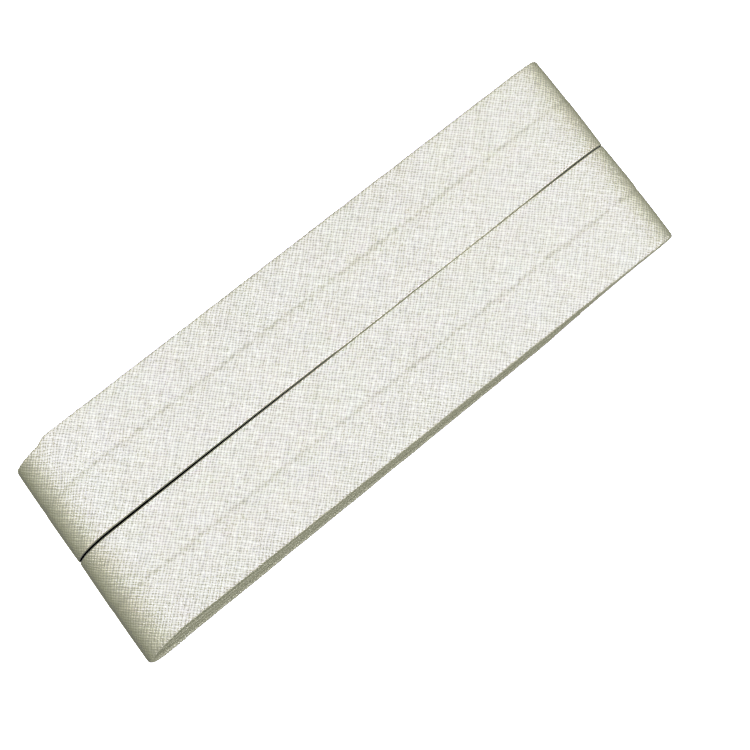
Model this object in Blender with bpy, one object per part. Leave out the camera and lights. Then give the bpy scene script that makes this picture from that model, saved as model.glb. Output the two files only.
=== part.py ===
"""A flat roll of folded bias tape.

The tape is one long strip of cotton. Both its long edges are folded over to the middle, where they
meet in a narrow slit, and the folded strip is then wound flat: run, bend, run, bend, from the middle
of the bundle outwards. The solid here is that one folded strip, a millimetre thick, wound as a flat
spiral whose runs lie a little apart. X is along the roll, Y is across the tape and Z is up. The
origin is at the middle of the roll's footprint, on the surface that it lies on.
"""

import math
from typing import NamedTuple

import bmesh
import bpy
from mathutils import Matrix, Vector

MM = 0.001

# Driving dimensions of the folded tape.
TAPE_WIDTH = 30.0 * MM
TAPE_THICKNESS = 1.0 * MM
SLIT_DEPTH = 0.55 * MM
SLIT_PLACE = 0.24 * MM        # how far the slit lies to +Y of the tape's middle
SLIT_LIP = 0.25 * MM          # how far from the slit its edges start to round over
CROWN = 0.10 * MM             # how much each folded half swells in its middle
CREASE_DEPTH = 0.12 * MM
CREASE_HALF_WIDTH = 0.50 * MM
CREASE_FAR = 0.53             # place of the far crease, as a share of the half width
CREASE_NEAR = 0.485           # place of the near crease

# Driving dimensions of the roll.
LAYER_GAP = 0.3 * MM
PITCH = TAPE_THICKNESS + LAYER_GAP
ROLL_LENGTH = 86.3 * MM       # at any one place across the tape
LEFT_EASE = 2.1 * MM          # how much further than round the left bends reach
RIGHT_EASE = 2.9 * MM         # and the right bends
LEFT_SLANT = 0.056            # how far the left end leans towards +X, per unit of +Y
RIGHT_SLANT = 0.070           # and the right end
OUTER_END_X = 28.0 * MM       # where the outer end lies, under the roll
OUTER_BEND_DRIFT = -0.3 * MM  # how far the outermost bend strays from its runs, along Y
DRAWN_IN = 0.45 * MM          # how far the far edge is drawn in, where cloth bends to the left
INNER_END_X = 37.0 * MM       # where the inner end lies, inside the first bend
BEND_STEPS = 16
RUN_STEPS = 6
EDGE_STEPS = 6                # flats round each folded edge of the tape

COTTON = (0.760, 0.745, 0.680, 1.0)


class Run(NamedTuple):
    """One straight length of tape, from bend to bend."""

    layer: int        # its place in the stack, 0 at the bottom
    shift_left: float     # how far it lies towards +Y at the left bend
    shift_right: float    # and at the right bend
    narrow_left: float    # how much narrower it is than the tape, all of it at its far edge
    narrow_right: float


def run_in_mm(layer, shifts, narrowings):
    return Run(layer, *(size * MM for size in shifts + narrowings))


# The runs in the order of winding, from the inner end to the outer end.
RUNS = [
    run_in_mm(layer=3, shifts=(0.10, 0.60), narrowings=(0.00, 0.15)),
    run_in_mm(layer=2, shifts=(0.10, 0.65), narrowings=(0.00, 0.00)),
    run_in_mm(layer=4, shifts=(0.40, 0.90), narrowings=(0.20, 0.75)),
    run_in_mm(layer=1, shifts=(0.25, 0.90), narrowings=(0.00, 0.00)),
    run_in_mm(layer=5, shifts=(0.00, 0.00), narrowings=(0.00, 0.00)),
    run_in_mm(layer=0, shifts=(-0.03, 0.72), narrowings=(0.00, 0.00)),
]
TOP_LAYER = max(run.layer for run in RUNS)


class SlitWidth(NamedTuple):
    """How wide the slit of the top run stands open at one place along it."""

    share: float      # 0 at the left bend, 1 at the right bend
    width: float


SLIT_WIDTHS = [
    SlitWidth(share=0.00, width=0.36 * MM),
    SlitWidth(share=0.25, width=0.30 * MM),
    SlitWidth(share=0.45, width=0.18 * MM),
    SlitWidth(share=0.60, width=0.10 * MM),
    SlitWidth(share=0.80, width=0.10 * MM),
    SlitWidth(share=1.00, width=0.20 * MM),
]
HIDDEN_SLIT_WIDTH = 0.30 * MM


class Station(NamedTuple):
    """One place along the wound tape, where its section stands."""

    x: float
    z: float
    out_x: float      # the direction that points out of the roll
    out_z: float
    shift: float
    slit: float
    swell: float      # 1 where the halves swell, 0 where they are pressed flat
    narrow: float     # how much narrower the tape is here, all of it at its far edge
    share: float      # 0 at the left bend, 1 at the right bend


def layer_height(layer):
    """Height of the middle of a layer."""
    return TAPE_THICKNESS / 2 + layer * PITCH


def smooth(share):
    """A soft step from 0 to 1."""
    share = min(max(share, 0.0), 1.0)
    return share * share * (3 - 2 * share)


def blend(start, end, share):
    return start + (end - start) * share


def half_height_of(lower, upper):
    """Half the height of the middle line of a bend between two layers."""
    return (upper - lower) * PITCH / 2


def slit_width(run, x):
    """The slit's width on a run, at a distance x along the roll."""
    if run.layer != TOP_LAYER:
        return HIDDEN_SLIT_WIDTH
    share = min(max((x - LEFT_X) / (RIGHT_X - LEFT_X), 0.0), 1.0)
    for before, after in zip(SLIT_WIDTHS, SLIT_WIDTHS[1:]):
        if share <= after.share:
            part = (share - before.share) / (after.share - before.share)
            return blend(before.width, after.width, part)
    return SLIT_WIDTHS[-1].width


# The bends turn about two lines. The outermost bend on each side reaches the roll's full length.
LEFT_X = (TAPE_THICKNESS - ROLL_LENGTH) / 2 + half_height_of(0, TOP_LAYER) + LEFT_EASE
RIGHT_X = (ROLL_LENGTH - TAPE_THICKNESS) / 2 - half_height_of(1, TOP_LAYER) - RIGHT_EASE


def run_stations(run, start_x, end_x):
    """The stations of a run, both ends included."""
    facing = 1 if end_x < start_x else -1
    swell = 0.0 if run.layer == 0 else 1.0
    stations = []
    for step in range(RUN_STEPS + 1):
        x = blend(start_x, end_x, step / RUN_STEPS)
        share = (x - LEFT_X) / (RIGHT_X - LEFT_X)
        shift = blend(run.shift_left, run.shift_right, share)
        narrow = blend(run.narrow_left, run.narrow_right, share)
        width = slit_width(run, x)
        height = layer_height(run.layer)
        stations.append(Station(x, height, 0.0, facing, shift, width, swell, narrow, share))
    return stations


def bend_stations(before, after):
    """The stations between two joined runs, round half an ellipse."""
    left = after.layer < before.layer
    side, centre_x = (-1, LEFT_X) if left else (1, RIGHT_X)
    half_height = half_height_of(*sorted((before.layer, after.layer)))
    reach = half_height + (LEFT_EASE if left else RIGHT_EASE)
    centre_z = (layer_height(before.layer) + layer_height(after.layer)) / 2
    turn = 1 if left else -1
    shifts = [run.shift_left if left else run.shift_right for run in (before, after)]
    swells = [0.0 if run.layer == 0 else 1.0 for run in (before, after)]
    narrows = [run.narrow_left if left else run.narrow_right for run in (before, after)]
    slits = [slit_width(run, centre_x) for run in (before, after)]
    drift = OUTER_BEND_DRIFT if after is RUNS[-1] else 0.0
    drawn_in = DRAWN_IN if left else 0.0
    stations = []
    for step in range(1, BEND_STEPS):
        share = step / BEND_STEPS
        angle = turn * (math.pi / 2 - math.pi * share)
        out = Vector((side * math.cos(angle) * half_height, math.sin(angle) * reach)).normalized()
        stations.append(
            Station(
                x=centre_x + side * math.cos(angle) * reach,
                z=centre_z + math.sin(angle) * half_height,
                out_x=out.x,
                out_z=out.y,
                shift=blend(*shifts, smooth(share)) + drift * math.sin(math.pi * share),
                slit=blend(*slits, smooth(share)),
                swell=blend(*swells, smooth(share)),
                narrow=blend(*narrows, smooth(share))
                + drawn_in * smooth(share / 0.08) * smooth((1 - share) / 0.75),
                share=0.0 if left else 1.0,
            )
        )
    return stations


def wound_stations():
    """All the stations, from the inner end of the tape to its outer end."""
    stations = []
    for number, run in enumerate(RUNS):
        goes_left = number % 2 == 0
        start_x, end_x = (RIGHT_X, LEFT_X) if goes_left else (LEFT_X, RIGHT_X)
        if number == 0:
            start_x = INNER_END_X
        if run is RUNS[-1]:
            end_x = OUTER_END_X
        stations += run_stations(run, start_x, end_x)
        if run is not RUNS[-1]:
            stations += bend_stations(run, RUNS[number + 1])
    return stations


def folded_edge(side, crest, narrow):
    """Points round one folded edge, from the face with the slit to the plain face."""
    radius = TAPE_THICKNESS / 2
    points = []
    for step in range(EDGE_STEPS + 1):
        angle = math.pi / 2 - math.pi * step / EDGE_STEPS
        height = crest if angle > 0 else radius
        y = side * (TAPE_WIDTH / 2 - narrow - radius + radius * math.cos(angle))
        points.append((y, height * math.sin(angle)))
    return points


def folded_half(side, crease, slit, swell):
    """Points on the slit's face, from the slit's bottom to the folded edge."""
    half_width = TAPE_WIDTH / 2
    top = TAPE_THICKNESS / 2

    def face(share):
        return top - CROWN * swell * (2 * share - 1) ** 2

    crease_y = crease * half_width
    slit_y = side * SLIT_PLACE
    points = [
        (slit_y + slit / 4, top - SLIT_DEPTH),
        (slit_y + slit / 2, top - SLIT_DEPTH / 3),
        (slit_y + slit / 2 + SLIT_LIP, face(0)),
        (crease_y / 2, face(crease / 2)),
        (crease_y - CREASE_HALF_WIDTH, face(crease)),
        (crease_y, face(crease) - CREASE_DEPTH),
        (crease_y + CREASE_HALF_WIDTH, face(crease)),
        ((crease_y + half_width) / 2, face((1 + crease) / 2)),
    ]
    return [(side * y, height) for y, height in points]


def section(slit, swell, narrow):
    """The closed outline of the folded tape, as places across it and heights from its middle."""
    crest = TAPE_THICKNESS / 2 - CROWN * swell
    far = folded_half(1, CREASE_FAR, slit, swell) + folded_edge(1, crest, narrow)
    near = folded_half(-1, CREASE_NEAR, slit, swell) + folded_edge(-1, crest, 0.0)
    outline = far + near[::-1]
    return outline + outline[:1]


def place(station, y, height):
    """Where a point of the section lies in the roll."""
    across = y + station.shift
    slant = blend(LEFT_SLANT, RIGHT_SLANT, station.share)
    return Vector(
        (
            station.x + station.out_x * height + slant * across,
            across,
            station.z + station.out_z * height,
        )
    )


def wind_tape(name):
    """Wrap a flat grid round the section at each station, and close the two cut ends."""
    stations = wound_stations()
    sections = [section(each.slit, each.swell, each.narrow) for each in stations]
    columns, rows = len(stations) - 1, len(sections[0]) - 1
    bm = bmesh.new()
    bmesh.ops.create_grid(bm, x_segments=columns, y_segments=rows, size=0.5)
    for vert in bm.verts:
        column = round((vert.co.x + 0.5) * columns)
        row = round((vert.co.y + 0.5) * rows)
        vert.co = place(stations[column], *sections[column][row])
    bmesh.ops.remove_doubles(bm, verts=bm.verts, dist=0.001 * MM)
    bmesh.ops.holes_fill(bm, edges=[edge for edge in bm.edges if edge.is_boundary])
    bmesh.ops.recalc_face_normals(bm, faces=bm.faces)
    mesh = bpy.data.meshes.new(name)
    bm.to_mesh(mesh)
    bm.free()
    return mesh


def stand_on_origin(mesh):
    """Put the middle of the footprint at the origin. The bottom run already lies at height 0."""
    for axis in (0, 1):
        places = [vert.co[axis] for vert in mesh.vertices]
        middle = (min(places) + max(places)) / 2
        offset = Vector((0, 0, 0))
        offset[axis] = -middle
        mesh.transform(Matrix.Translation(offset))


def cotton_material():
    """Unbleached plain-weave cotton: warm off-white and fully matt."""
    material = bpy.data.materials.new("plain_weave_cotton")
    material.use_nodes = True
    shader = material.node_tree.nodes["Principled BSDF"]
    shader.inputs["Base Color"].default_value = COTTON
    shader.inputs["Roughness"].default_value = 0.9
    shader.inputs["Metallic"].default_value = 0.0
    return material


def main():
    for old in list(bpy.data.objects):
        bpy.data.objects.remove(old, do_unlink=True)
    collection = bpy.data.collections.new("bias_tape_roll")
    bpy.context.scene.collection.children.link(collection)
    mesh = wind_tape("tape_roll")
    stand_on_origin(mesh)
    mesh.materials.append(cotton_material())
    mesh.shade_smooth()
    mesh.set_sharp_from_angle(angle=math.radians(40))
    collection.objects.link(bpy.data.objects.new("tape_roll", mesh))


main()
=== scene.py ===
# %% [markdown]
# # A flat roll of bias tape
#
# Bias tape is a strip of cotton cut at 45 degrees to its threads. Both long edges are folded over to
# the middle, where they meet in a narrow slit, and the folded strip is ironed and wound flat. This
# lesson dresses a plain solid of such a roll as real cloth: one thin strip, really folded and really
# wound, with a weave that is computed from the size of its threads.
#
# The imported solid comes first. Its box is kept, so that the cloth can be placed by it.

import math
from typing import NamedTuple

import bmesh
import bpy
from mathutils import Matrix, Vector, noise


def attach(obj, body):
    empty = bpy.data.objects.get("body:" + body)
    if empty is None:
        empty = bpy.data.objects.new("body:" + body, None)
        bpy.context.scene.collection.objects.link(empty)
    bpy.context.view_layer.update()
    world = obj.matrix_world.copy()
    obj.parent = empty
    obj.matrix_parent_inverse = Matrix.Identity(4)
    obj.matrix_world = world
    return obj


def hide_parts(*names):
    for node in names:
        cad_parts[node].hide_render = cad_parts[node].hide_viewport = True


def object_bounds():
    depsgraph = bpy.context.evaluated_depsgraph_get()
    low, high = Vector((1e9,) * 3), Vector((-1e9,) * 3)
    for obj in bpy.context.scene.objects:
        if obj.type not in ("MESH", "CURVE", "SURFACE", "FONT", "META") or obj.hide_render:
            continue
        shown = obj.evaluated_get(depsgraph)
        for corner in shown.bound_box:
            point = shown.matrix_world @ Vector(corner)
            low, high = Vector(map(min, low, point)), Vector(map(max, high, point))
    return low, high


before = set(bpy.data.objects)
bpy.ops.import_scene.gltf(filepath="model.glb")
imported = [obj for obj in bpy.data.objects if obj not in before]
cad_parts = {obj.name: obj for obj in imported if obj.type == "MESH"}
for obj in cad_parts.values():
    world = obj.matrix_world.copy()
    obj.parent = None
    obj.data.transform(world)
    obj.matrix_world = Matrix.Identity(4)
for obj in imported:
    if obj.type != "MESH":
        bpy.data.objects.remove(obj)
cad_low, cad_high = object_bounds()
print("nodes:", list(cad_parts), "box:", tuple(cad_low), tuple(cad_high))

# %% [markdown]
# ## Sizes
#
# Everything follows from a few real sizes, in millimetres as a maker would measure them. The folded
# tape is 30 mm wide and about a millimetre thick. Its cotton is a quarter of a millimetre thick, so a
# length of folded tape is two or three plies with a little air between them.

# %% Sizes of the tape and of the roll
MM = 0.001

TAPE_WIDTH = 30.0 * MM
TAPE_THICKNESS = 1.0 * MM
CLOTH = 0.26 * MM             # thickness of the cotton itself
ROLL_LENGTH = 86.3 * MM       # along the middle line
PITCH = 1.3 * MM              # from one layer of folded tape to the next
LEFT_EASE = 2.1 * MM          # how much further than round the left bends reach
RIGHT_EASE = 2.9 * MM         # and the right bends
LEFT_SLANT = 0.056            # how far the left end leans towards +X, per unit of +Y
RIGHT_SLANT = 0.070           # and the right end
OUTER_END_X = 28.0 * MM       # the tape ends here under the roll
INNER_END_X = 37.0 * MM       # and here inside it
print(f"tape {TAPE_WIDTH / MM:.0f} mm wide, roll {ROLL_LENGTH / MM:.1f} mm long")

# %% [markdown]
# ## The winding
#
# The roll is a flat spiral: a run, a bend, a run and so on, from the inner end to the outer end. Each
# run lies in a layer of the stack and a little to one side, which is what makes the edges of the
# stack uneven. Bias-cut cloth also narrows where it is stretched, so some runs are a little narrower
# than others. One run bows to the near side before its bend, and the loose outer end strays a little.
#
# A curve with a bevel would be the quick way to wind a tape, but its section is the same all along.
# Here the line is a list of stations, each with its own section. A table holds one row for each run.
# The top run gets the most stations, because its surface and its edges are seen from close by. The
# run that bows and the run with the loose end get more than the others.


# %% The table of runs
class Run(NamedTuple):
    layer: int            # place in the stack, 0 at the bottom
    shift_left: float     # how far the run lies towards +Y at the left bend
    shift_right: float    # and at the right bend
    narrow_left: float    # how much narrower it is than the tape, all of it at its far edge
    narrow_right: float
    bow: float            # how far it bows towards -Y shortly before the right bend
    steps: int


def run_in_mm(layer, shifts, narrowings, steps, bow=0.0):
    return Run(layer, *(size * MM for size in (*shifts, *narrowings, bow)), steps)


RUNS = [
    run_in_mm(layer=3, shifts=(0.02, 0.50), narrowings=(0.00, 0.15), steps=20),
    run_in_mm(layer=2, shifts=(0.28, 0.80), narrowings=(0.00, 0.00), steps=20),
    run_in_mm(layer=4, shifts=(0.45, 0.95), narrowings=(0.20, 0.75), steps=20),
    run_in_mm(layer=1, shifts=(0.12, 0.80), narrowings=(0.00, 0.00), steps=36, bow=0.15),
    run_in_mm(layer=5, shifts=(0.03, 0.08), narrowings=(0.03, 0.08), steps=130),
    run_in_mm(layer=0, shifts=(-0.08, 0.57), narrowings=(0.00, 0.00), steps=36),
]
TOP_RUN, BOTTOM_RUN = RUNS[-2], RUNS[-1]
print("layers from the inner end to the outer end:", [run.layer for run in RUNS])


# %% Helpers for smooth changes
def blend(start, end, share):
    return start + (end - start) * share


def smooth(share):
    """Goes gently from 0 to 1, and stays at 0 before and at 1 after."""
    share = min(max(share, 0.0), 1.0)
    return share * share * (3 - 2 * share)


def hump(share, start, rise, fall):
    """Rises from 0 to 1 after start, and is back at 0 where share is 1."""
    return smooth((share - start) / rise) * smooth((1 - share) / fall)


# %% A station, and the ends of the runs
class Station(NamedTuple):
    x: float
    z: float
    out: Vector           # the way out of the roll, in the X-Z plane
    shift: float
    share: float          # place along the run, 0 at the left bend and 1 at the right
    seen: bool            # whether the slit shows here
    narrow: float         # how much narrower the tape is here, all of it at its far edge
    astray: float         # how far its edges stray towards +Y, while the slit goes straight on
    swell: float          # 1 where the folded halves swell, 0 where they are pressed flat


def layer_height(layer):
    return TAPE_THICKNESS / 2 + layer * PITCH


def half_height_of(lower, upper):
    return (upper - lower) * PITCH / 2


def swell_of(run):
    return 0.0 if run is BOTTOM_RUN else 1.0


LEFT_X = (TAPE_THICKNESS - ROLL_LENGTH) / 2 + half_height_of(0, TOP_RUN.layer) + LEFT_EASE
RIGHT_X = (ROLL_LENGTH - TAPE_THICKNESS) / 2 - half_height_of(1, TOP_RUN.layer) - RIGHT_EASE
print(f"runs from x = {LEFT_X / MM:.1f} mm to x = {RIGHT_X / MM:.1f} mm")

# %% Stations along a run
BOW_START, BOW_RISE, BOW_FALL = 0.60, 0.25, 0.15      # as shares of the way from left to right
LOOSE_END = 8.0 * MM          # length of the tape's outer end that strays
LOOSE_END_DRIFT = 0.24 * MM   # towards +Y


def run_stations(run, start_x, end_x):
    facing = Vector((0, 1)) if end_x < start_x else Vector((0, -1))
    for step in range(run.steps + 1):
        x = blend(start_x, end_x, step / run.steps)
        share = (x - LEFT_X) / (RIGHT_X - LEFT_X)
        shift = blend(run.shift_left, run.shift_right, share)
        shift -= run.bow * hump(share, BOW_START, BOW_RISE, BOW_FALL)
        if run is BOTTOM_RUN:
            shift += LOOSE_END_DRIFT * smooth(1 + (x - OUTER_END_X) / LOOSE_END)
        yield Station(
            x=x,
            z=layer_height(run.layer),
            out=facing,
            shift=shift,
            share=share,
            seen=run is TOP_RUN,
            narrow=blend(run.narrow_left, run.narrow_right, share),
            astray=0.0,
            swell=swell_of(run),
        )


# %% [markdown]
# A bend is half an ellipse, because a roll that is wound flat and pressed is no longer round at its
# ends. At the left end the tape is pulled tight, and cloth that is stretched there gets narrower: its
# far edge is drawn in soon after the start of each left bend and comes back slowly.

# %% Stations round a bend
OUTER_BEND_STEPS = 40
INNER_BEND_STEPS = 14
OUTER_BEND_DRIFT = -0.3 * MM  # of the edges of the last bend, towards +Y
DRAWN_IN = 0.45 * MM
DRAWN_START, DRAWN_RISE, DRAWN_FALL = 0.03, 0.10, 0.75     # as shares of the way round


def bend_stations(before, after):
    left = after.layer < before.layer
    side, centre_x, turn = (-1, LEFT_X, 1) if left else (1, RIGHT_X, -1)
    half_height = half_height_of(*sorted((before.layer, after.layer)))
    reach = half_height + (LEFT_EASE if left else RIGHT_EASE)
    centre_z = (layer_height(before.layer) + layer_height(after.layer)) / 2
    outer = TOP_RUN in (before, after)
    drift = OUTER_BEND_DRIFT if after is BOTTOM_RUN else 0.0
    drawn_in = DRAWN_IN if left else 0.0
    shifts = [run.shift_left if left else run.shift_right for run in (before, after)]
    narrows = [run.narrow_left if left else run.narrow_right for run in (before, after)]
    steps = OUTER_BEND_STEPS if outer else INNER_BEND_STEPS
    for step in range(1, steps):
        part = step / steps
        angle = turn * (math.pi / 2 - math.pi * part)
        across, up = side * math.cos(angle), math.sin(angle)
        stray = drift * math.sin(math.pi * part)
        drawn = drawn_in * hump(part, DRAWN_START, DRAWN_RISE, DRAWN_FALL)
        yield Station(
            x=centre_x + across * reach,
            z=centre_z + up * half_height,
            out=Vector((across * half_height, up * reach)).normalized(),
            shift=blend(*shifts, smooth(part)) + stray,
            share=0.0 if left else 1.0,
            seen=outer,
            narrow=blend(*narrows, smooth(part)) + drawn,
            astray=stray,
            swell=blend(swell_of(before), swell_of(after), smooth(part)),
        )


# %% Wind the line
def wind():
    stations = []
    for number, run in enumerate(RUNS):
        start_x, end_x = (RIGHT_X, LEFT_X) if number % 2 == 0 else (LEFT_X, RIGHT_X)
        start_x = INNER_END_X if number == 0 else start_x
        end_x = OUTER_END_X if run is BOTTOM_RUN else end_x
        stations += run_stations(run, start_x, end_x)
        if run is not BOTTOM_RUN:
            stations += bend_stations(run, RUNS[number + 1])
    return stations


STATIONS = wind()
places_along = [0.0]
for before, after in zip(STATIONS, STATIONS[1:]):
    places_along.append(places_along[-1] + math.hypot(after.x - before.x, after.z - before.z))

# %% [markdown]
# ## The folds across the tape
#
# Cut across, the tape is a flat C: a back ply as wide as the tape, a fold at each edge, and two flaps
# that come back to the middle. At the slit each flap is turned under once more, and its raw edge lies
# hidden at the middle of the flap, where the iron has pressed it through as a faint crease. The slit
# isn't straight: it is a hair wide at the left, closes on the way and opens again at the right. Two
# tables give its course and the depth of the creases. Values between two rows are blended.

# %% The slit between the flaps
class Slit(NamedTuple):
    share: float          # 0 at the left bend, 1 at the right bend
    place: float          # how far the slit lies to +Y of the middle
    width: float


SLITS = [
    Slit(share=0.00, place=0.05 * MM, width=0.25 * MM),
    Slit(share=0.12, place=0.12 * MM, width=0.22 * MM),
    Slit(share=0.20, place=0.16 * MM, width=0.17 * MM),
    Slit(share=0.30, place=0.18 * MM, width=0.14 * MM),
    Slit(share=0.44, place=0.18 * MM, width=0.10 * MM),
    Slit(share=0.51, place=0.15 * MM, width=0.02 * MM),
    Slit(share=0.68, place=0.20 * MM, width=0.02 * MM),
    Slit(share=0.74, place=0.21 * MM, width=0.00 * MM),
    Slit(share=0.89, place=0.27 * MM, width=0.02 * MM),
    Slit(share=0.94, place=0.30 * MM, width=0.07 * MM),
    Slit(share=1.00, place=0.28 * MM, width=0.11 * MM),
]
HIDDEN_SLIT = Slit(share=0.5, place=0.24 * MM, width=0.20 * MM)
print("slit at most", round(max(slit.width for slit in SLITS) / MM, 2), "mm wide")

# %% The creases in the flaps
CREASE_WIDTH = 0.42 * MM
CREASE_STEP = 0.05 * MM       # the flap lies this much lower where no cloth is turned under it
CREASE_STEP_LENGTH = 4 * CREASE_WIDTH


class CreaseDepth(NamedTuple):
    share: float
    far: float
    near: float


CREASE_DEPTHS = [
    CreaseDepth(share=0.00, far=0.09 * MM, near=0.07 * MM),
    CreaseDepth(share=0.15, far=0.08 * MM, near=0.09 * MM),
    CreaseDepth(share=0.40, far=0.10 * MM, near=0.05 * MM),
    CreaseDepth(share=0.60, far=0.07 * MM, near=0.09 * MM),
    CreaseDepth(share=0.80, far=0.06 * MM, near=0.10 * MM),
    CreaseDepth(share=1.00, far=0.04 * MM, near=0.07 * MM),
]


def read_table(table, column, share):
    """The value in a column of a table whose rows are sorted by share."""
    for before, after in zip(table, table[1:]):
        if share <= after.share:
            part = smooth((share - before.share) / (after.share - before.share))
            return blend(getattr(before, column), getattr(after, column), part)
    return getattr(table[-1], column)


# %% [markdown]
# ## One half of the section
#
# The section is walked from one raw edge to the other, so the distance walked is also the place on
# the flat strip of cloth. Each half has four stretches: the cloth that is turned under, the turn at
# the slit, the flap, and the fold at the edge. A hot iron leaves no round turn, so the turn at the
# slit is drawn squarer than a half circle. Each point also says how deep it lies in the shade of the
# slit. That shade is painted: light reaching into a slit a quarter of a millimetre wide leaves it
# grey, so the material colours those points nearly black and takes away their gloss.


# %% Height of a flap
class Half(NamedTuple):
    side: int             # 1 is the far half, -1 the near half
    crease: float         # place of its crease, as a share of the half width
    depth_column: str


FAR = Half(side=1, crease=0.53, depth_column="far")
NEAR = Half(side=-1, crease=0.485, depth_column="near")
CROWN = 0.10 * MM             # how much each folded half swells


def flap_height(half, station, place):
    """Height of the flap's middle at a place from 0, at the slit, to 1, at the folded edge."""
    from_crease = (place - half.crease) * TAPE_WIDTH / 2
    depth = read_table(CREASE_DEPTHS, half.depth_column, station.share)
    trough = depth * math.exp(-((from_crease / CREASE_WIDTH) ** 2))
    step = CREASE_STEP * smooth(0.5 + from_crease / CREASE_STEP_LENGTH)
    loose = CROWN * (2 * place - 1) ** 2 + trough + step
    return TAPE_THICKNESS / 2 - CLOTH / 2 - station.swell * loose


# %% Walk one half, from the raw edge to the folded edge
UNDER_STEPS, TURN_STEPS, FLAP_STEPS, EDGE_STEPS, BACK_STEPS = 8, 10, 28, 8, 6
TURN_RADIUS = 0.145 * MM      # of the middle of the cloth, where a flap is turned under
TURN_SQUARENESS = 0.35        # the power of its sine and cosine: 1 draws a half circle
# Painted shade: the sizes below say which cloth in and under the slit is coloured dark.
UNDER_SHADE_END = 0.8 * MM    # the cloth turned under is in shade this far from the turn
UNDER_SHADE_FADE = 0.5 * MM
TURN_SHADE_ENDS = 0.50, 0.78  # share of the turn in shade, at a closed slit and at a wide one
TURN_SHADE_FADE = 0.12
WIDE_SLIT = 0.15 * MM


def squarer(value):
    """Pushes a sine or cosine outwards, so that the fold it draws is an ironed one."""
    return math.copysign(abs(value) ** TURN_SQUARENESS, value)


def half_section(half, station, slit_place, slit_width):
    """Points (y, height, deep) of one half. Deep is 1 in the slit's shade and 0 in the open."""
    turn_y = half.side * slit_place + slit_width / 2 + CLOTH / 2 + TURN_RADIUS
    turn_top = flap_height(half, station, 0.0)
    shade_end = blend(*TURN_SHADE_ENDS, smooth(slit_width / WIDE_SLIT))
    back = -TAPE_THICKNESS / 2 + CLOTH / 2
    edge_radius = (flap_height(half, station, 1.0) - back) / 2
    narrow = station.narrow if half is FAR else 0.0
    edge_y = TAPE_WIDTH / 2 - CLOTH / 2 - narrow - edge_radius
    points = []
    # Deep marks painted shade, which the material colours nearly black.
    for step in range(UNDER_STEPS):
        place = half.crease * (1 - step / UNDER_STEPS)
        y = max(place * TAPE_WIDTH / 2, turn_y)
        deep = smooth((UNDER_SHADE_END - (y - turn_y)) / UNDER_SHADE_FADE)
        points.append((y, flap_height(half, station, place) - 2 * TURN_RADIUS, deep))
    for step in range(TURN_STEPS + 1):
        angle = -math.pi / 2 - math.pi * step / TURN_STEPS
        deep = smooth((shade_end - step / TURN_STEPS) / TURN_SHADE_FADE)
        y = turn_y + TURN_RADIUS * squarer(math.cos(angle))
        points.append((y, turn_top + TURN_RADIUS * (squarer(math.sin(angle)) - 1), deep))
    for step in range(1, FLAP_STEPS):
        y = blend(turn_y, edge_y, step / FLAP_STEPS)
        points.append((y, flap_height(half, station, y / (TAPE_WIDTH / 2)), 0.0))
    for step in range(EDGE_STEPS + 1):
        angle = math.pi / 2 - math.pi * step / EDGE_STEPS
        y = edge_y + edge_radius * math.cos(angle)
        points.append((y, back + edge_radius + edge_radius * math.sin(angle), 0.0))
    return [(half.side * y, height, deep) for y, height, deep in points]


# %% The whole section
UNDER_SLIT = 0.5 * MM         # the back is in shade this far to either side of the slit


def section(station):
    """Points (y, height, deep) from the near raw edge to the far raw edge."""
    slits = SLITS if station.seen else [HIDDEN_SLIT]
    place = read_table(slits, "place", station.share) - station.astray
    width = read_table(slits, "width", station.share)
    near, far = (half_section(half, station, place, width) for half in (NEAR, FAR))
    # The back right under the slit gets painted shade too.
    under_slit = [place + side * UNDER_SLIT for side in (-2, -1, 0, 1, 2)]
    back = list(zip(under_slit, (0.0, 1.0, 1.0, 1.0, 0.0)))
    for start, end in ((near[-1][0], under_slit[0]), (under_slit[-1], far[-1][0])):
        back += [(blend(start, end, step / BACK_STEPS), 0.0) for step in range(1, BACK_STEPS)]
    return near + [(y, near[-1][1], deep) for y, deep in sorted(back)] + far[::-1]


# The section at the middle station gives the flat cloth its width.
middle_section = section(STATIONS[len(STATIONS) // 2])
places_across = [0.0]
for before, after in zip(middle_section, middle_section[1:]):
    places_across.append(places_across[-1] + math.hypot(after[0] - before[0], after[1] - before[1]))


# %% Where the creases lie on the flat cloth
def crease_on_flat_cloth(half):
    """Place on the flat cloth of the crease in a flap, which lies right above the raw edge."""
    wanted = half.side * half.crease * TAPE_WIDTH / 2
    crossings = []
    for number, (before, after) in enumerate(zip(middle_section, middle_section[1:])):
        if min(before[0], after[0]) <= wanted < max(before[0], after[0]):
            part = (wanted - before[0]) / (after[0] - before[0])
            flat = blend(places_across[number], places_across[number + 1], part)
            crossings.append((after[1], flat))
    return max(crossings)[1]


CREASE_PLACES = [crease_on_flat_cloth(half) for half in (NEAR, FAR)]
print("creases at", [round(place / MM, 2) for place in CREASE_PLACES], "mm on the flat cloth")

# %% [markdown]
# ## One strip of cloth, folded and wound
#
# The strip starts as what it is on the cutting table: a flat grid. Each vertex keeps its place on the
# flat cloth in a UV map, in millimetres, and is then moved to its place in the folded and wound tape.
# So the weave follows every fold, and runs the other way on the flaps than on the back, as it does on
# real bias tape. Solidify gives the strip the thickness of the cotton.
#
# Nothing made by hand is quite even, so the flaps get soft low waves, and the folded edges wander by
# some hundredths of a millimetre.

# %% Small unevenness of hand-wound cloth
RIPPLE = 0.014 * MM           # height of the soft waves in the flaps
RIPPLE_LENGTH = 7.0 * MM
RIPPLE_REACH = 1.2            # the waves die out towards this many half widths from the middle
EDGE_WANDER = 0.035 * MM      # how far a folded edge wanders from a straight line
EDGE_WANDER_LENGTH = 2.2 * MM
EDGE_WANDER_POWER = 4         # a high power leaves the cloth away from the edge where it is
EDGE_SEED = 40.0 * MM         # each edge reads the noise this far from the middle, so they differ


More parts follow.
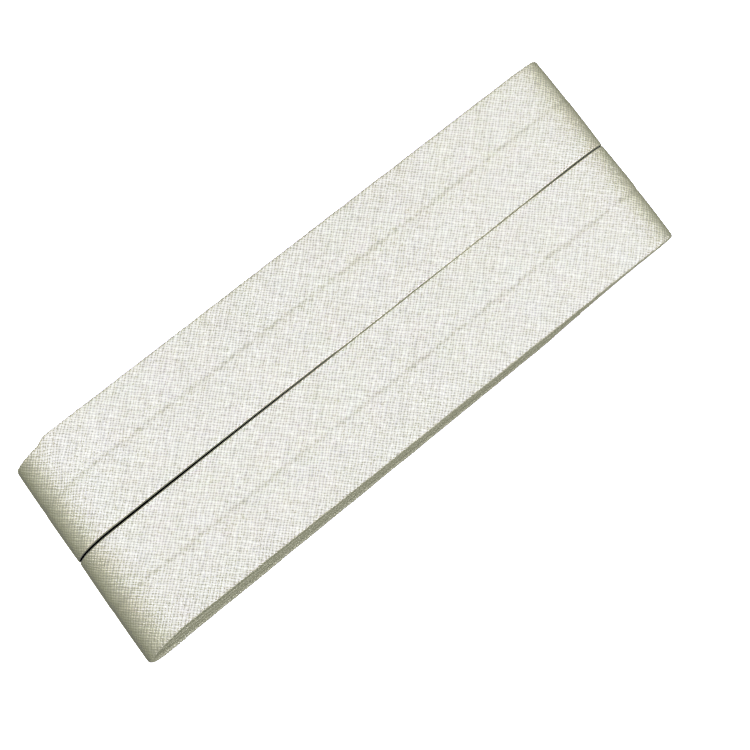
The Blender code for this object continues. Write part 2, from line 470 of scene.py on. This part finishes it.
def wave(x, y, length):
    """A smooth and repeatable unevenness between -1 and 1."""
    return noise.noise(Vector((x / length, y / length, 0.5)))


# %% Fold and wind the strip
def place_point(station, along, y, height):
    from_middle = abs(y) / (TAPE_WIDTH / 2)
    wander = EDGE_WANDER * wave(along, math.copysign(EDGE_SEED, y), EDGE_WANDER_LENGTH)
    ripple = RIPPLE * station.swell * wave(along, y, RIPPLE_LENGTH)
    height += ripple * smooth(RIPPLE_REACH - from_middle)
    across = y + station.shift + wander * from_middle**EDGE_WANDER_POWER
    slant = blend(LEFT_SLANT, RIGHT_SLANT, station.share)
    x = station.x + station.out.x * height + slant * across
    return Vector((x, across, station.z + station.out.y * height))


def wind_cloth():
    columns, rows = len(STATIONS) - 1, len(middle_section) - 1
    bm = bmesh.new()
    bmesh.ops.create_grid(bm, x_segments=columns, y_segments=rows, size=0.5)
    flat_place = bm.loops.layers.uv.new("flat_cloth_mm")
    painted_shade_layer = bm.verts.layers.float.new("painted_slit_shade")
    sections = [section(station) for station in STATIONS]
    cell = {v: (round((v.co.x + 0.5) * columns), round((v.co.y + 0.5) * rows)) for v in bm.verts}
    for face in bm.faces:
        for loop in face.loops:
            column, row = cell[loop.vert]
            loop[flat_place].uv = (places_across[row] / MM, places_along[column] / MM)
    for vert, (column, row) in cell.items():
        y, height, deep = sections[column][row]
        vert[painted_shade_layer] = deep
        vert.co = place_point(STATIONS[column], places_along[column], y, height)
    return bm


# %% [markdown]
# The solid shows where the roll lies. The cloth is moved there: half way between its ends in X, and
# with the near edge of its outside at the near side of the solid. It already stands on the floor.

# %% The strip as an object
bm = wind_cloth()
left = min(v.co.x for v in bm.verts)
right = max(v.co.x for v in bm.verts)
near = min(v.co.y for v in bm.verts)
to_solid = Vector((-(left + right) / 2, cad_low[1] + CLOTH / 2 - near, 0.0))
bmesh.ops.translate(bm, vec=to_solid, verts=bm.verts)
tape_mesh = bpy.data.meshes.new("folded_tape")
bm.to_mesh(tape_mesh)
bm.free()
tape_mesh.shade_smooth()
tape = bpy.data.objects.new("folded_tape", tape_mesh)
bpy.context.scene.collection.objects.link(tape)
solid = tape.modifiers.new("cotton thickness", "SOLIDIFY")
solid.thickness = CLOTH
solid.offset = 0.0
print("strip:", len(tape_mesh.polygons), "faces")

# %% [markdown]
# ## Materials
#
# One helper turns a hex colour, as a painter would pick it on a screen, into the linear numbers that
# the renderer counts in. Another adds a node with its settings and links.

# %% Helpers for materials
MATH = "ShaderNodeMath"
VECTOR_MATH = "ShaderNodeVectorMath"
NOISE = "ShaderNodeTexNoise"
RANGE = "ShaderNodeMapRange"
MIX = "ShaderNodeMix"
COMBINE = "ShaderNodeCombineXYZ"
SEPARATE = "ShaderNodeSeparateXYZ"


def linear(hex_colour):
    """An sRGB hex colour as linear RGBA."""
    channels = [int(hex_colour[i : i + 2], 16) / 255 for i in (1, 3, 5)]
    return [c / 12.92 if c <= 0.04045 else ((c + 0.055) / 1.055) ** 2.4 for c in channels] + [1.0]


def add(tree, kind, inputs=None, **settings):
    """Add a node. An input is a value, a socket to link, or a node whose first output is linked."""
    node = tree.nodes.new(kind)
    for name, value in settings.items():
        setattr(node, name, value)
    for key, value in (inputs or {}).items():
        source = value.outputs[0] if isinstance(value, bpy.types.Node) else value
        if isinstance(source, bpy.types.NodeSocket):
            tree.links.new(source, node.inputs[key])
        else:
            node.inputs[key].default_value = source
    return node


def new_material(name):
    material = bpy.data.materials.new(name)
    material.use_nodes = True
    material.node_tree.nodes.clear()
    return material, material.node_tree


# %% [markdown]
# ## Plain-weave cotton, cut on the bias
#
# In a plain weave each thread goes over one and under one. Along the tape the two sets of threads run
# at 43 degrees to either side, because cloth cut on the bias stretches a little when it is ironed.
#
# An image of cloth would be the quick way, but it would have to be laid out over every fold. Here the
# material counts threads instead. A place on the flat cloth is measured across each set of threads
# and divided by the distance between them, and both counts are kept in one vector: X counts the
# warp, Y the weft. The whole part of a count names the thread, and the rest is the place across it.
# Threads aren't evenly spaced, so a noise moves each set a little to and fro. It changes fast from
# one thread to the next and slowly along a thread.

# %% Count the threads
WARP_SPACING = 0.400          # mm from thread to thread
WEFT_SPACING = 0.318
THREAD_ANGLE = math.radians(43)
STRAY = 0.95                  # how far threads stray in all, in threads
STRAY_FAST, STRAY_SLOW = 0.8, 0.12    # waves of the noise to a thread, across and along it


def count_threads(tree, flat_place):
    """Evenly spaced threads, counted up to a place on the flat cloth."""
    counts = {}
    for axis, spacing, turn in ((0, WARP_SPACING, -1), (1, WEFT_SPACING, 1)):
        across = (math.cos(THREAD_ANGLE) / spacing, turn * math.sin(THREAD_ANGLE) / spacing, 0.0)
        measured = add(tree, VECTOR_MATH, {0: flat_place, 1: across}, operation="DOT_PRODUCT")
        counts[axis] = measured.outputs["Value"]
    return add(tree, COMBINE, counts)


def let_threads_stray(tree, counts):
    strays = {}
    warp_waves, weft_waves = (STRAY_FAST, STRAY_SLOW, 0.0), (STRAY_SLOW, STRAY_FAST, 0.0)
    for axis, waves, seed in ((0, warp_waves, 0.0), (1, weft_waves, 7.0)):
        where = {0: counts, 1: waves, 2: (0.0, 0.0, seed)}
        vector = add(tree, VECTOR_MATH, where, operation="MULTIPLY_ADD")
        strays[axis] = add(tree, NOISE, {"Vector": vector, "Scale": 1.0, "Detail": 0.0})
    both = add(tree, COMBINE, strays)
    centred = add(tree, VECTOR_MATH, {0: both, 1: (0.5, 0.5, 0.0)}, operation="SUBTRACT")
    moved = {0: centred, 1: (STRAY, STRAY, 0.0), 2: counts}
    return add(tree, VECTOR_MATH, moved, operation="MULTIPLY_ADD")


print(f"{10 / WARP_SPACING:.0f} warp and {10 / WEFT_SPACING:.0f} weft threads to a centimetre")

# %% [markdown]
# A thread is round, so it is highest in its middle, like half a sine wave. It rises where it goes
# over the other set and dips where it goes under. Which set is on top changes like the squares of a
# chessboard: it depends on whether the two thread numbers add up to an odd number.

# %% Over one, under one
THREAD_RISE = 0.5             # how far a thread rises or dips at a crossing, in half thicknesses


def weave_height(tree, counts, threads):
    """Height of the cloth's surface: 0 in a gap and 1.5 on top of a crossing."""
    rest = add(tree, VECTOR_MATH, {0: counts}, operation="FRACTION")
    angle = add(tree, VECTOR_MATH, {0: rest, 1: (math.pi, math.pi, 0.0)}, operation="MULTIPLY")
    arches = add(tree, VECTOR_MATH, {0: angle}, operation="SINE")
    arch = add(tree, SEPARATE, {0: arches}).outputs
    total = add(tree, VECTOR_MATH, {0: threads, 1: (1.0, 1.0, 0.0)}, operation="DOT_PRODUCT")
    odd = add(tree, MATH, {0: total.outputs["Value"], 1: 2.0}, operation="FLOORED_MODULO")
    warp_on_top = add(tree, MATH, {0: odd, 1: -2.0, 2: 1.0}, operation="MULTIPLY_ADD")
    heights = {}
    for own, other, rise in ((0, 1, THREAD_RISE), (1, 0, -THREAD_RISE)):
        crossing = add(tree, MATH, {0: warp_on_top, 1: arch[other]}, operation="MULTIPLY")
        height = {0: crossing, 1: rise, 2: arch[own]}
        heights[own] = add(tree, MATH, height, operation="MULTIPLY_ADD")
    return add(tree, MATH, heights, operation="MAXIMUM")


# %% [markdown]
# The gap between four threads is darker, but fluff and thick threads close many gaps. Cotton is spun
# from short fibres, so each thread has slubs: thick and thin places that run along it. A noise for
# each set follows its threads, and a third one gives each gap its own fullness. Towards the right end
# the tape was ironed a little harder, which closes the gaps there by an eighth.

# %% Gaps between the threads
SLUB_FAST, SLUB_SLOW = 3.7, 0.09      # waves of the noise to a thread, across and along it
GAP_WAVES = 1.73              # from gap to gap, so that two neighbours have little in common
FILL = (0.168, 0.090, 0.720)  # how much the warp, the weft and the gap itself can fill it
WIDE_OPEN, QUITE_CLOSED = 0.55, 2.1   # the fullness at which a gap is so
IRONED_FROM, IRONED_TO = 10.0 * MM, 35.0 * MM
IRONED_GAP = 0.88             # what is left of a gap there


def open_gaps(tree, counts, threads, height):
    """1 in a wide gap and 0 where thread covers it."""
    fills = {}
    warp_scales = (SLUB_FAST, 0.0, 0.0), (0.0, SLUB_SLOW, 0.0)
    weft_scales = (0.0, SLUB_FAST, 0.0), (SLUB_SLOW, 0.0, 0.0)
    for axis, (fast, slow), seed in ((0, warp_scales, 0.0), (1, weft_scales, 31.0)):
        along = {0: counts, 1: slow, 2: (0.0, 0.0, seed)}
        along_thread = add(tree, VECTOR_MATH, along, operation="MULTIPLY_ADD")
        across = {0: threads, 1: fast, 2: along_thread}
        vector = add(tree, VECTOR_MATH, across, operation="MULTIPLY_ADD")
        fills[axis] = add(tree, NOISE, {"Vector": vector, "Scale": 1.0, "Detail": 1.0})
    halfway = add(tree, VECTOR_MATH, {0: counts, 1: (0.5, 0.5, 13.0)}, operation="ADD")
    nearest_gap = add(tree, VECTOR_MATH, {0: halfway}, operation="FLOOR")
    fills[2] = add(tree, NOISE, {"Vector": nearest_gap, "Scale": GAP_WAVES, "Detail": 0.0})
    fill = add(tree, COMBINE, fills)
    filled = add(tree, VECTOR_MATH, {0: fill, 1: FILL}, operation="DOT_PRODUCT").outputs["Value"]
    fullness = add(tree, MATH, {0: filled, 1: height}, operation="ADD")
    from_wide = {"Value": fullness, "From Min": WIDE_OPEN, "From Max": QUITE_CLOSED}
    open_gap = add(tree, RANGE, {**from_wide, "To Min": 1.0, "To Max": 0.0})
    place = add(tree, SEPARATE, {0: add(tree, "ShaderNodeTexCoord").outputs["Object"]})
    from_left = {"Value": place, "From Min": IRONED_FROM, "From Max": IRONED_TO}
    ironed = add(tree, RANGE, {**from_left, "To Min": 1.0, "To Max": IRONED_GAP})
    return add(tree, MATH, {0: open_gap, 1: ironed}, operation="MULTIPLY")


# %% [markdown]
# The iron has pressed the hidden raw edges through, which leaves a faint darker line in each flap.
# The dip itself is in the mesh, but under the soft light it casts almost no shade. So the shade is
# painted: the material darkens a narrow line that wanders a little, fades in places and is broken up
# into speckles.

# %% Painted shade along the creases pressed through by the iron
# Painted shade along each crease: its colour, how wide it is and how it wanders.
CREASE_SHADE = "#f9f9fa"
CREASE_SHADE_WIDTH = 0.5           # mm to either side of the line
CREASE_SHADE_WANDER = 0.5          # mm from side to side
WANDER_WAVES, FADE_WAVES, SPECKLE_WAVES = 0.30, 0.35, 2.0      # to a millimetre
SPECKLE_CONTRAST, SPECKLE_BASE = 2.0, -0.1
# The painted shade fades where a noise is low: it is faint at the first value and full at the second.
FADED, UNFADED = 0.36, 0.62      # the values of the noise at which a line is so
FADED_STRENGTH = 0.35


def paint_crease_shade(tree, flat_place, cloth):
    place = add(tree, SEPARATE, {0: flat_place}).outputs
    scales = (SPECKLE_WAVES, SPECKLE_WAVES, 0.0)
    speck = {0: flat_place, 1: scales, 2: (0.0, 0.0, 50.0)}
    vector = add(tree, VECTOR_MATH, speck, operation="MULTIPLY_ADD")
    specks = add(tree, NOISE, {"Vector": vector, "Scale": 1.0, "Detail": 0.0})
    contrast = {0: specks, 1: SPECKLE_CONTRAST, 2: SPECKLE_BASE}
    speckle = add(tree, MATH, contrast, operation="MULTIPLY_ADD")
    for number, crease in enumerate(CREASE_PLACES):
        noises = []
        for waves, seed, detail in ((WANDER_WAVES, 20.0, 0.0), (FADE_WAVES, 40.0, 2.0)):
            along = add(tree, MATH, {0: place[1], 1: waves}, operation="MULTIPLY")
            vector = add(tree, COMBINE, {0: along, 1: seed + number})
            noises.append(add(tree, NOISE, {"Vector": vector, "Scale": 1.0, "Detail": detail}))
        wander, fading = noises
        moved = {0: wander, 1: CREASE_SHADE_WANDER, 2: place[0]}
        across = add(tree, MATH, moved, operation="MULTIPLY_ADD")
        line = crease / MM + CREASE_SHADE_WANDER / 2
        to_line = add(tree, MATH, {0: across, 1: line}, operation="SUBTRACT")
        distance = add(tree, MATH, {0: to_line}, operation="ABSOLUTE")
        fade = {"Value": distance, "From Min": CREASE_SHADE_WIDTH, "From Max": 0.0}
        near_line = add(tree, RANGE, fade, interpolation_type="SMOOTHSTEP")
        from_faded = {"Value": fading, "From Min": FADED, "From Max": UNFADED}
        strength = add(tree, RANGE, {**from_faded, "To Min": FADED_STRENGTH, "To Max": 1.0})
        whole = add(tree, MATH, {0: near_line, 1: strength}, operation="MULTIPLY")
        painted_shade = add(tree, MATH, {0: whole, 1: speckle}, operation="MULTIPLY")
        # Painted shade: the line darkens the cloth.
        darker = {"Factor": painted_shade, "A": cloth, "B": linear(CREASE_SHADE)}
        cloth = add(tree, MIX, darker, data_type="RGBA", blend_type="MULTIPLY").outputs["Result"]
    return cloth


# %% [markdown]
# Undyed cotton is never quite even: soft patches some millimetres wide lean a little to pink or to
# green. The fluff of the fibres makes it very rough and nearly without gloss. The height of the weave
# goes into a bump, because threads a few tenths of a millimetre thick are too fine to be mesh.

# %% The cotton
COTTON = "#f7f7f5"
GAP = "#e3e3e6"
# Painted shade: the colour of the cloth deep in the slit.
SLIT_SHADE = "#0c0c05"
PATCHES = 0.28                # to a millimetre
PATCH_TINT = (0.010, 0.010, 0.014)
PATCH_BASE = (0.995, 0.995, 0.993)
THREAD_RELIEF = 0.06 * MM     # height of one unit of the weave
RELIEF_STRENGTH = 0.6
ROUGHNESS = 0.92
GLOSS = 0.1


def tint_patches(tree, flat_place, cloth):
    patches = add(tree, NOISE, {"Vector": flat_place, "Scale": PATCHES, "Detail": 1.0})
    tinted = {0: patches.outputs["Color"], 1: PATCH_TINT, 2: PATCH_BASE}
    tint = add(tree, VECTOR_MATH, tinted, operation="MULTIPLY_ADD")
    both = {"Factor": 1.0, "A": cloth, "B": tint}
    return add(tree, MIX, both, data_type="RGBA", blend_type="MULTIPLY").outputs["Result"]


def cotton():
    material, tree = new_material("plain_weave_cotton_cut_on_the_bias")
    flat_place = add(tree, "ShaderNodeUVMap", uv_map="flat_cloth_mm")
    counts = let_threads_stray(tree, count_threads(tree, flat_place))
    threads = add(tree, VECTOR_MATH, {0: counts}, operation="FLOOR")
    height = weave_height(tree, counts, threads)
    open_gap = open_gaps(tree, counts, threads, height)
    woven = {"Factor": open_gap, "A": linear(COTTON), "B": linear(GAP)}
    cloth = add(tree, MIX, woven, data_type="RGBA").outputs["Result"]
    cloth = paint_crease_shade(tree, flat_place, cloth)
    cloth = tint_patches(tree, flat_place, cloth)
    # Painted shade in the slit: where the mask is 1, the cloth is coloured nearly black and has no
    # gloss.
    deep = add(tree, "ShaderNodeAttribute", attribute_name="painted_slit_shade").outputs["Fac"]
    shaded = {"Factor": deep, "A": cloth, "B": linear(SLIT_SHADE)}
    relief = {"Strength": RELIEF_STRENGTH, "Distance": THREAD_RELIEF, "Height": height}
    surface = {
        "Base Color": add(tree, MIX, shaded, data_type="RGBA").outputs["Result"],
        "Roughness": ROUGHNESS,
        "Specular IOR Level": add(tree, MATH, {0: deep, 1: -GLOSS, 2: GLOSS}, operation="MULTIPLY_ADD"),
        "Normal": add(tree, "ShaderNodeBump", relief),
    }
    shader = add(tree, "ShaderNodeBsdfPrincipled", surface)
    add(tree, "ShaderNodeOutputMaterial", {"Surface": shader})
    return material


cotton_material = cotton()
tape_mesh.materials.append(cotton_material)
print(cotton_material.name, "has", len(cotton_material.node_tree.nodes), "nodes")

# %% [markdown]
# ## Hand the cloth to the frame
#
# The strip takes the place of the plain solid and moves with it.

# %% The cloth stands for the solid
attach(tape, "root")
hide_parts("tape_roll")

# %% [markdown]
# ## The floor
#
# The roll lies on white card. In the picture the card is lit until it is plain white, with no shadow
# on it. More lamps would do that too, but they would also wash out the cloth. So the card glows by
# itself, over a little diffuse grey, and is hidden from the light that the cloth receives.

# %% Floor of white card
FLOOR_HALF = 6.0              # metres, large enough for a view from low down

bm = bmesh.new()
bmesh.ops.create_grid(bm, x_segments=1, y_segments=1, size=FLOOR_HALF)
floor_mesh = bpy.data.meshes.new("floor")
bm.to_mesh(floor_mesh)
bm.free()
floor = bpy.data.objects.new("floor", floor_mesh)
bpy.context.scene.collection.objects.link(floor)
floor_material, tree = new_material("white_card")
glow = add(tree, "ShaderNodeEmission", {"Color": linear("#ffffff"), "Strength": 1.0})
card = add(tree, "ShaderNodeBsdfDiffuse", {"Color": linear("#61616f")})
both = add(tree, "ShaderNodeAddShader", {0: glow, 1: card})
add(tree, "ShaderNodeOutputMaterial", {"Surface": both})
floor_mesh.materials.append(floor_material)
floor.visible_diffuse = False
floor.visible_glossy = False
print("floor:", 2 * FLOOR_HALF, "m square")

# %% [markdown]
# ## The light around the roll
#
# Cloth shows its weave when light comes from the sides. The room itself is dim, a little brighter
# above than below. Two bright cards stand upright around the roll, one behind it and one in front,
# and light its edges. Cards could be planes with a glow, but then they would have to be kept out of
# every view. Drawn into the world they are far away and never in the way. Each is drawn by how far a
# direction points towards it: 1 is straight at the card, 0 is square to it.

# %% The room and its two cards
SKY = [0.165, 0.165, 0.165, 1.0]
GROUND = [0.095, 0.095, 0.095, 1.0]
HORIZON = 0.08                # half the height in which one turns into the other
CARD_BEHIND = [1.19, 1.19, 1.19, 1.0]
CARD_IN_FRONT = [1.45, 1.45, 1.47, 1.0]
TO_CARD_BEHIND = (0.0, 1.0, 0.0)
TO_CARD_IN_FRONT = (0.12, -0.993, 0.0)

world = bpy.data.worlds.new("studio")
bpy.context.scene.world = world
world.use_nodes = True
tree = world.node_tree
tree.nodes.clear()
direction = add(tree, "ShaderNodeTexCoord").outputs["Generated"]
upwards = add(tree, SEPARATE, {0: direction}).outputs[2]
above = add(tree, RANGE, {"Value": upwards, "From Min": -HORIZON, "From Max": HORIZON})
room = add(tree, MIX, {"Factor": above, "A": GROUND, "B": SKY}, data_type="RGBA").outputs["Result"]
for towards, edge, full, light in (
    (TO_CARD_BEHIND, 0.50, 0.90, CARD_BEHIND),
    (TO_CARD_IN_FRONT, 0.55, 0.90, CARD_IN_FRONT),
):
    aim = add(tree, VECTOR_MATH, {0: direction, 1: towards}, operation="DOT_PRODUCT")
    on_card = {"Value": aim.outputs["Value"], "From Min": edge, "From Max": full}
    share = add(tree, RANGE, on_card)
    lit = {"Factor": share, "A": room, "B": light}
    room = add(tree, MIX, lit, data_type="RGBA").outputs["Result"]
background = add(tree, "ShaderNodeBackground", {"Color": room, "Strength": 1.0})
add(tree, "ShaderNodeOutputWorld", {"Surface": background})
print("world:", world.name, "with", len(tree.nodes), "nodes")

# %% [markdown]
# ## Lamps
#
# One large softbox hangs over the roll and gives the top its even light. A sun lamp would be simpler,
# but its hard shadows would show every thread too sharply. A small bounce card is held close to the
# left end, because that end turns away from every other light.

# %% Softbox and bounce card
SOFTBOX_SIZE, SOFTBOX_WATTS = 0.25, 1.585
SOFTBOX_PLACE, SOFTBOX_TARGET = Vector((0.029, -0.030, 0.46)), Vector((0.0, 0.0, 0.0))
BOUNCE_SIZE, BOUNCE_WATTS = 0.04, 0.008
BOUNCE_PLACE, BOUNCE_TARGET = Vector((-0.10, 0.05, 0.04)), Vector((-0.044, 0.010, 0.004))


def add_lamp(name, size, watts, place, target):
    lamp_data = bpy.data.lights.new(name, "AREA")
    lamp_data.shape = "SQUARE"
    lamp_data.size = size
    lamp_data.energy = watts
    lamp = bpy.data.objects.new(name, lamp_data)
    lamp.location = place
    lamp.rotation_euler = (place - target).to_track_quat("Z", "Y").to_euler()
    bpy.context.scene.collection.objects.link(lamp)
    print(f"{name}: {watts} W, {(place - target).length:.2f} m from what it lights")
    return lamp


add_lamp("softbox", SOFTBOX_SIZE, SOFTBOX_WATTS, SOFTBOX_PLACE, SOFTBOX_TARGET)
bounce = add_lamp("bounce card", BOUNCE_SIZE, BOUNCE_WATTS, BOUNCE_PLACE, BOUNCE_TARGET)
bounce.visible_camera = False

# %% [markdown]
# ## Camera
#
# The roll is seen from steeply above and a little from its near side. The camera stands back along
# that direction, with a long lens: two and a half times as long as the picture is wide.

# %% Camera
VIEW_AZIMUTH = math.radians(-39.25)
VIEW_ELEVATION = math.radians(75)
VIEW_DISTANCE = 238.1 * MM
VIEW_TARGET = Vector((-0.19, -5.46, 7.5)) * MM
FOCAL_PIXELS = 1900           # the focal length, in pixels of the 750-pixel image
IMAGE_PIXELS = 750
SENSOR_WIDTH = 36             # mm, which only sets what the focal length is counted against

away = Vector(
    (
        math.sin(VIEW_AZIMUTH) * math.cos(VIEW_ELEVATION),
        -math.cos(VIEW_AZIMUTH) * math.cos(VIEW_ELEVATION),
        math.sin(VIEW_ELEVATION),
    )
)
camera_data = bpy.data.cameras.new("camera")
camera_data.sensor_width = SENSOR_WIDTH
camera_data.lens = SENSOR_WIDTH * FOCAL_PIXELS / IMAGE_PIXELS
camera_data.clip_start = 0.01
camera = bpy.data.objects.new("camera", camera_data)
camera.location = VIEW_TARGET + away * VIEW_DISTANCE
camera.rotation_euler = away.to_track_quat("Z", "Y").to_euler()
bpy.context.scene.collection.objects.link(camera)
bpy.context.scene.camera = camera
print(f"lens of {camera_data.lens:.0f} mm at {VIEW_DISTANCE / MM:.0f} mm from the roll")

# %% [markdown]
# ## Hard development
#
# The picture is developed hard: everything below white is pulled down, so that the threads stand out
# and the edges of the roll go dark. Harder lamps would change the shading instead, so curves on the
# finished light do it. Each point says how bright a light goes in and how bright it comes out. Green
# and blue have small curves of their own, which are applied first and make the darks warmer, and
# then one curve bends all three colours.

# %% Curves of the development
ALL_COLOURS = [(0.25, 0.125), (0.55, 0.22), (0.765, 0.375), (0.92, 0.78)]
GREEN = [(0.55, 0.556), (0.75, 0.749), (0.90, 0.895)]
BLUE = [(0.25, 0.20), (0.42, 0.28), (0.55, 0.37), (0.75, 0.636), (0.85, 0.80), (0.92, 0.9005)]
CURVES = {1: GREEN, 2: BLUE, 3: ALL_COLOURS}     # by Blender's number of the curve

view = bpy.context.scene.view_settings
view.view_transform = "Standard"
view.use_curve_mapping = True
for number, points in CURVES.items():
    for light_in, light_out in points:
        view.curve_mapping.curves[number].points.new(light_in, light_out)
view.curve_mapping.update()
print("points of each curve:", {number: len(points) for number, points in CURVES.items()})
